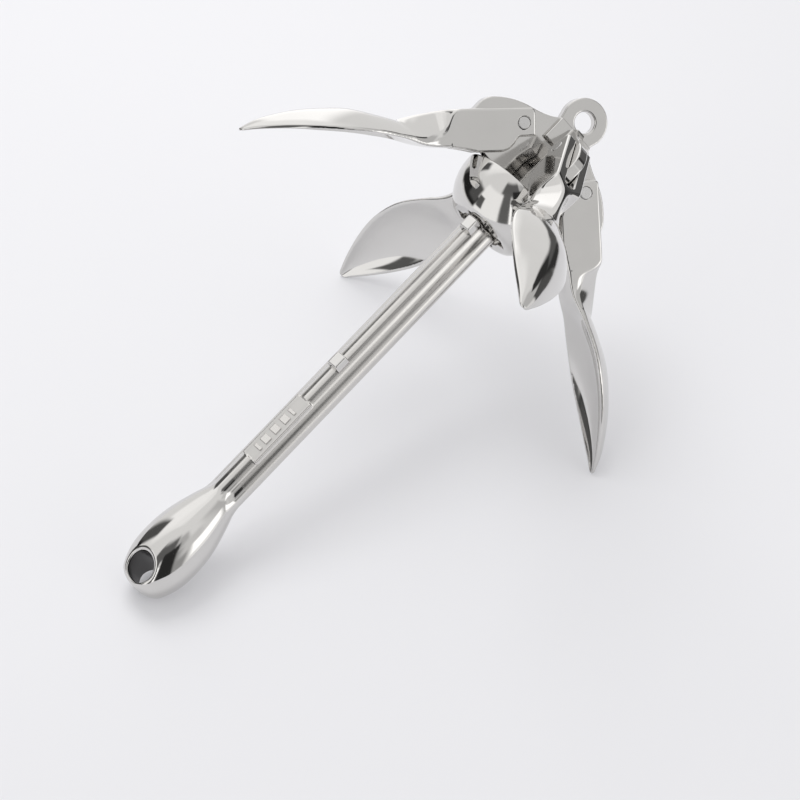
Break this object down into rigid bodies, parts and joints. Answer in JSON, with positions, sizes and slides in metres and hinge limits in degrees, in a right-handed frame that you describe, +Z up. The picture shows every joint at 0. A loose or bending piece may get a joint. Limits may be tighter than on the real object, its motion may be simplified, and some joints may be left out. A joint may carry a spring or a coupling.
{
  "type": "folding grapnel boat anchor",
  "caption": "Polished steel folding grapnel anchor: clover-section shank with rope eye bulb, sliding cup, cross crown with trip eye and hinged spoon flukes that fold along the shank.",
  "frame": {"origin": "centre of the bounding box's footprint, on the surface the anchor lies on", "axes": "+X along the ground from the rope eye towards the crown, +Z up; the shank rises to the crown in the XZ plane, and the anchor is symmetric about that plane but for one fluke's droop"},
  "size_m": [0.374, 0.2296, 0.2142],
  "materials": {
    "polished_steel": "polished",
    "satin_steel": "satin",
    "pin_steel": "satin"
  },
  "bodies": {
    "anchor_body": {"shank": "polished_steel", "eye_plate": "satin_steel", "cheek_web_b": "satin_steel", "cheek_web_d": "satin_steel", "crown_stop_bar": "polished_steel", "mid_stop_bar": "polished_steel", "hinge_pin_a": "pin_steel", "hinge_pin_b": "pin_steel", "hinge_pin_c": "pin_steel", "hinge_pin_d": "pin_steel"},
    "cup": {"locking_cup": "polished_steel"},
    "fluke_a": {"fluke_a": "polished_steel"},
    "fluke_b": {"fluke_b": "polished_steel"},
    "fluke_c": {"fluke_c": "polished_steel"},
    "fluke_d": {"fluke_d": "polished_steel"}
  },
  "joints": [
    {"name": "cup_slide", "type": "slide", "parent": "anchor_body", "child": "cup", "axis": [-0.9212, 0, -0.3891], "range_m": [0, 0.16]},
    {"name": "fluke_a_fold", "type": "hinge", "parent": "anchor_body", "child": "fluke_a", "pos_m": [0.13553, 0.02051, 0.16761], "axis": [-0.2751, -0.7071, 0.6514], "range_deg": [0, 45]},
    {"name": "fluke_b_fold", "type": "hinge", "parent": "anchor_body", "child": "fluke_b", "pos_m": [0.15149, 0.02051, 0.12983], "axis": [-0.2751, 0.7071, 0.6514], "range_deg": [0, 52]},
    {"name": "fluke_c_fold", "type": "hinge", "parent": "anchor_body", "child": "fluke_c", "pos_m": [0.15149, -0.02051, 0.12983], "axis": [0.2751, 0.7071, -0.6514], "range_deg": [0, 52]},
    {"name": "fluke_d_fold", "type": "hinge", "parent": "anchor_body", "child": "fluke_d", "pos_m": [0.13553, -0.02051, 0.16761], "axis": [0.2751, -0.7071, -0.6514], "range_deg": [0, 52]}
  ],
  "couplings": [
    {"joint": "fluke_a_fold", "follows": "cup_slide", "rad_per_m": 4.7997},
    {"joint": "fluke_b_fold", "follows": "cup_slide", "rad_per_m": 5.5632},
    {"joint": "fluke_c_fold", "follows": "cup_slide", "rad_per_m": 5.5632},
    {"joint": "fluke_d_fold", "follows": "cup_slide", "rad_per_m": 5.5632}
  ]
}
